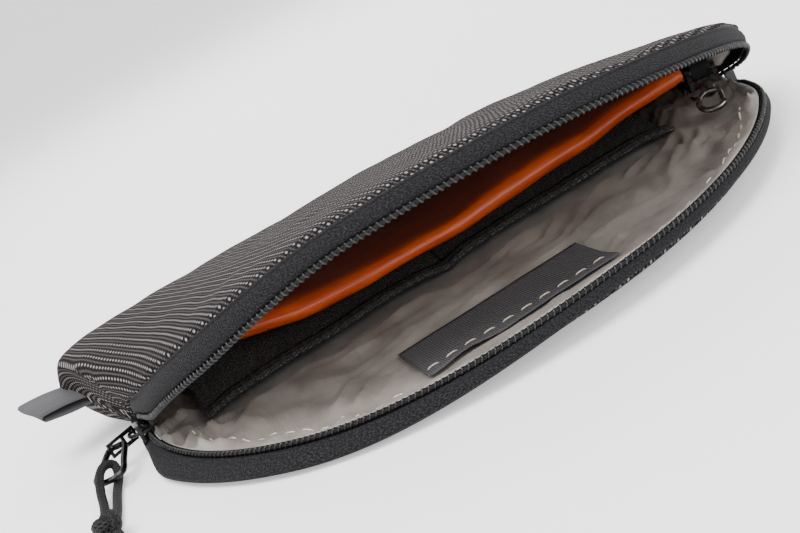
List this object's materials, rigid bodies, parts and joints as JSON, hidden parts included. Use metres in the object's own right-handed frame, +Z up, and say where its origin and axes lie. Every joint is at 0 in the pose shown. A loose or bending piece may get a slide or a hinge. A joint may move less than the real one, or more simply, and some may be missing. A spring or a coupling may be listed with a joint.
{
  "type": "neck pouch wallet",
  "caption": "Flat zippered travel pouch, open and lying on its lower panel, with an elastic card pocket, an inner document sleeve, a key clip and a corded zip pull.",
  "frame": {"origin": "centre of the footprint, on the surface that the pouch lies on, measured without the pull cord", "axes": "+Z up, +X along the pouch's long side, the mouth faces -Y"},
  "size_m": [0.206, 0.1337, 0.0459],
  "materials": {
    "textile": "woven charcoal textile with pale dotted rows",
    "satin": "wrinkled silver-beige satin",
    "tape": "mottled woven zip tape",
    "coil": "black nylon coil",
    "piping": "turned seam edge",
    "elastic": "speckled charcoal elastic",
    "hem": "folded elastic hem",
    "label": "woven dark grey ribbon",
    "sleeve": "orange coated satin",
    "webbing": "folded woven webbing",
    "slider_metal": "dark gunmetal enamel",
    "ring_wire": "black coated wire",
    "cord": "black braided cord",
    "clip_metal": "satin nickel"
  },
  "bodies": {
    "pouch": {"lower_panel": "textile", "lower_lining": "satin", "rear_upper_panel": "textile", "rear_upper_lining": "satin", "lower_zip_tape": "tape", "lower_zip_coil": "coil", "lower_seam_cord": "piping", "zip_bottom_stop": "coil", "zip_top_stop": "coil", "card_pocket": "elastic", "pocket_hem": "hem", "pocket_divider": "elastic", "label_patch": "label", "document_sleeve": "sleeve", "side_tab": "webbing", "key_strap": "webbing"},
    "upper_lip": {"front_upper_panel": "textile", "front_upper_lining": "satin", "upper_zip_tape": "tape", "upper_zip_coil": "coil", "upper_seam_cord": "piping"},
    "slider": {"slider_body": "slider_metal", "slider_bail": "slider_metal"},
    "eye": {"pull_link": "slider_metal"},
    "pull": {"pull_ring": "ring_wire", "pull_cord": "cord", "cord_knot": "cord"},
    "clip_yoke": {"clip_swivel": "clip_metal"},
    "hook": {"clip_hook": "clip_metal"},
    "gate": {"clip_gate": "clip_metal"}
  },
  "joints": [
    {"name": "mouth_close", "type": "hinge", "parent": "pouch", "child": "upper_lip", "pos_m": [-0.0795, 0.02108, 0.006], "axis": [0.9945, -0.1045, 0], "range_deg": [0, 24]},
    {"name": "slider_travel", "type": "hinge", "parent": "pouch", "child": "slider", "pos_m": [0.0085, 0.02185, 0], "axis": [0, 0, 1], "range_deg": [0, 164]},
    {"name": "eye_swing", "type": "hinge", "parent": "slider", "child": "eye", "pos_m": [-0.08399, 0.01862, 0.006], "axis": [0, 0, 1], "range_deg": [-10, 10]},
    {"name": "pull_lift", "type": "hinge", "parent": "eye", "child": "pull", "pos_m": [-0.08747, 0.01685, 0.006], "axis": [-0.9135, 0.4067, 0], "range_deg": [0, 50]},
    {"name": "clip_swing", "type": "hinge", "parent": "pouch", "child": "clip_yoke", "pos_m": [0.088, 0.00835, 0.0125], "axis": [0.891, -0.454, 0], "range_deg": [-35, 0]},
    {"name": "hook_swivel", "type": "hinge", "parent": "clip_yoke", "child": "hook", "pos_m": [0.08446, 0.0014, 0.00886], "axis": [0.4115, 0.8075, 0.4226], "range_deg": [-60, 60]},
    {"name": "gate_open", "type": "hinge", "parent": "hook", "child": "gate", "pos_m": [0.08549, -0.00186, 0.00772], "axis": [-0.1919, -0.3766, 0.9063], "range_deg": [-30, 0], "stiffness_Nm_per_rad": 0.004, "springref_deg": 11.46}
  ],
  "couplings": [
    {"joint": "slider_travel", "follows": "mouth_close", "ratio": 6.8333}
  ]
}
